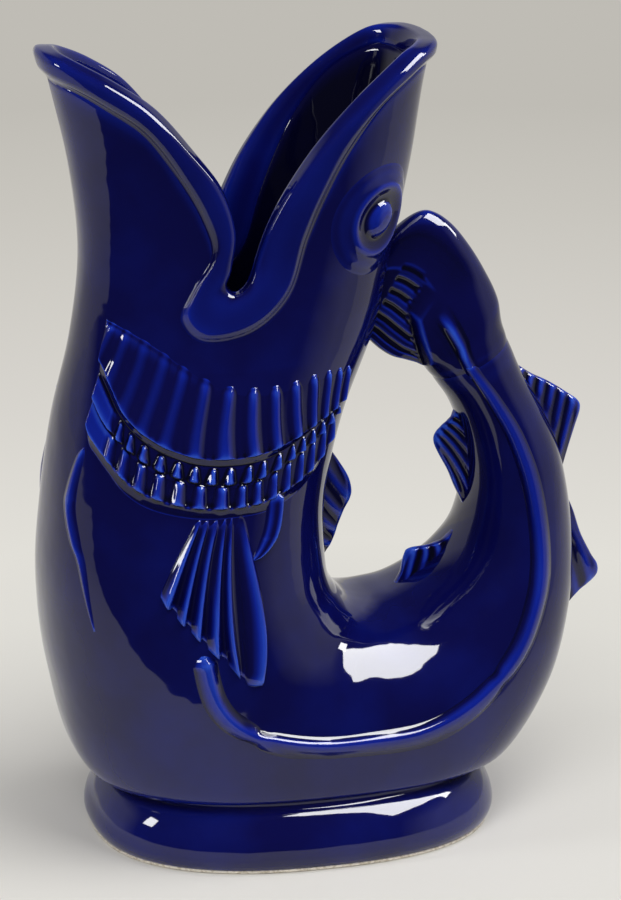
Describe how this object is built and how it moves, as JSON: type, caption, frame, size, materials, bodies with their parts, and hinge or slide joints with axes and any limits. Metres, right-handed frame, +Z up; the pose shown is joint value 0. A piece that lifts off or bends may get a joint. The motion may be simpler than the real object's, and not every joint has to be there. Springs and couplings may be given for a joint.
{
  "type": "fish gurgle jug",
  "caption": "Hollow glazed earthenware fish jug: gaping mouth for spout, ribbed gill collar and fins, hollow tail curling up as the loop handle, oval plinth foot",
  "frame": {"origin": "centre of the flat standing ring under the foot", "axes": "+Z up; the spout points to -X and the tail handle to +X; the plane y = 0 is the plane of symmetry; the pictured flank faces -Y"},
  "size_m": [0.1743, 0.099, 0.243],
  "materials": {
    "cobalt_glaze": "glossy dark cobalt glaze, brighter blue where it runs thin on ribs and edges",
    "bare_clay": "matt unglazed earthenware on the standing ring"
  },
  "bodies": {
    "root": {"head": "cobalt_glaze", "throat": "cobalt_glaze", "belly": "cobalt_glaze", "tail_root": "cobalt_glaze", "tail": "cobalt_glaze", "tail_fin": "cobalt_glaze", "foot": "cobalt_glaze", "foot_ring": "bare_clay", "mouth_rim": "cobalt_glaze", "gill_collar_left": "cobalt_glaze", "gill_collar_right": "cobalt_glaze", "pectoral_fin_left": "cobalt_glaze", "pectoral_fin_right": "cobalt_glaze", "pelvic_fin_left": "cobalt_glaze", "pelvic_fin_right": "cobalt_glaze", "eye_left": "cobalt_glaze", "eye_right": "cobalt_glaze", "side_ridge_left": "cobalt_glaze", "side_ridge_right": "cobalt_glaze", "throat_ridge_left": "cobalt_glaze", "throat_ridge_right": "cobalt_glaze", "back_fin": "cobalt_glaze", "tail_inner_fin_upper": "cobalt_glaze", "tail_inner_fin_lower": "cobalt_glaze", "tail_outer_fin_upper": "cobalt_glaze", "tail_outer_fin_lower": "cobalt_glaze"}
  },
  "joints": []
}
